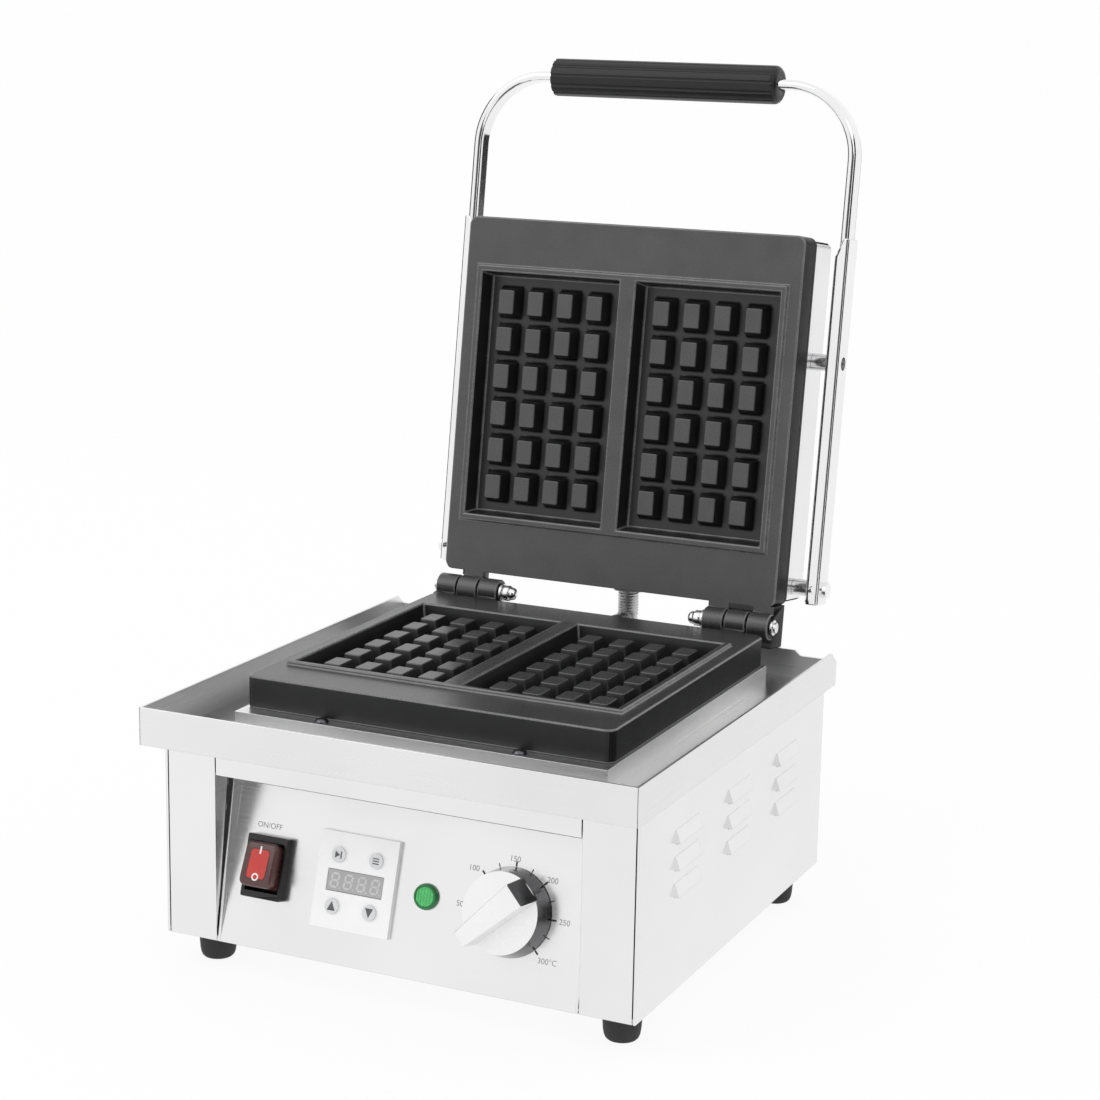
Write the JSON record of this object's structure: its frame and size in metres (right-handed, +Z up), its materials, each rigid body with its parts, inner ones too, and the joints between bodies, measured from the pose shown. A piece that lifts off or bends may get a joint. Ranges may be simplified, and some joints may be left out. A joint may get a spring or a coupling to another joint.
{
  "type": "waffle maker",
  "caption": "Countertop waffle maker: stainless base with drip tray and slanted control panel, hinged twin cast plates with peg grids, lid open on a looped bar handle.",
  "frame": {"origin": "on the worktop, under the centre of the whole outline with the lid open", "axes": "+Z up, +X to the right seen from the front, so the control panel faces -Y and the lid opens towards +Y"},
  "size_m": [0.32, 0.4096, 0.5348],
  "materials": {
    "steel": "brushed satin stainless sheet",
    "coated": "cast, with a dark matt non-stick coating",
    "bright": "polished",
    "hardware": "plain zinc-bright fasteners",
    "heater": "dull heater sheath",
    "board": "pressed mineral fibre",
    "black": "fine satin",
    "rubber": "matt",
    "white": "smooth satin film",
    "display": "smoked grey window",
    "red": "translucent red",
    "green": "faceted green lens",
    "silver": "satin silver",
    "circuit": "circuit board",
    "sleeve": "ribbed flexible metal",
    "gasket": "matt heat-proof"
  },
  "bodies": {
    "base": {"tray": "steel", "plinth": "steel", "housing": "steel", "column_left": "steel", "column_right": "steel", "header_strip": "steel", "control_panel": "steel", "bottom_plate": "steel", "feet": "rubber", "foot_screws": "hardware", "foot_nuts": "hardware", "lower_plate": "coated", "lower_heater": "heater", "lower_heater_clamp": "heater", "insulation_board": "board", "plinth_screws": "hardware", "hinge_bolts": "hardware", "hinge_washers": "hardware", "hinge_nuts": "bright", "conduit": "sleeve", "conduit_gland_base": "black", "thermostat": "black", "timer_fascia": "white", "timer_case": "black", "timer_board": "circuit", "timer_display": "display", "timer_keys": "black", "lamp_lens": "green", "lamp_body": "black", "switch_frame": "black", "terminal_block": "white", "cord_gland": "black"},
    "lid": {"upper_plate": "coated", "lid_gasket": "gasket", "lid_cover": "steel", "lid_cover_screws": "hardware", "upper_heater": "heater", "upper_heater_clamp": "heater", "handle_arm_left": "steel", "handle_arm_right": "steel", "handle_bar": "bright", "handle_spacers": "hardware", "handle_bolts": "bright", "handle_nuts": "hardware", "grip": "black", "conduit_gland_lid": "black"},
    "knob": {"knob": "silver", "thermostat_shaft": "hardware"},
    "rocker": {"rocker": "red"},
    "button_start": {"button_start": "white"},
    "button_mode": {"button_mode": "white"},
    "button_up": {"button_up": "white"},
    "button_down": {"button_down": "white"}
  },
  "joints": [
    {"name": "lid_hinge", "type": "hinge", "parent": "base", "child": "lid", "pos_m": [0, 0.10269, 0.1798], "axis": [1, 0, 0], "range_deg": [0, 98], "deforming": ["conduit"]},
    {"name": "knob_turn", "type": "hinge", "parent": "base", "child": "knob", "pos_m": [0.069, -0.17289, 0.06798], "axis": [0, 0.9588, -0.284], "range_deg": [0, 270]},
    {"name": "switch_rock", "type": "hinge", "parent": "base", "child": "rocker", "pos_m": [-0.091, -0.17481, 0.06855], "axis": [1, 0, 0], "range_deg": [0, 20]},
    {"name": "button_start_press", "type": "slide", "parent": "base", "child": "button_start", "axis": [0, 0.9588, -0.284], "range_m": [0, 0.0008], "stiffness_N_per_m": 400, "springref_m": -0.0004},
    {"name": "button_mode_press", "type": "slide", "parent": "base", "child": "button_mode", "axis": [0, 0.9588, -0.284], "range_m": [0, 0.0008], "stiffness_N_per_m": 400, "springref_m": -0.0004},
    {"name": "button_up_press", "type": "slide", "parent": "base", "child": "button_up", "axis": [0, 0.9588, -0.284], "range_m": [0, 0.0008], "stiffness_N_per_m": 400, "springref_m": -0.0004},
    {"name": "button_down_press", "type": "slide", "parent": "base", "child": "button_down", "axis": [0, 0.9588, -0.284], "range_m": [0, 0.0008], "stiffness_N_per_m": 400, "springref_m": -0.0004}
  ]
}
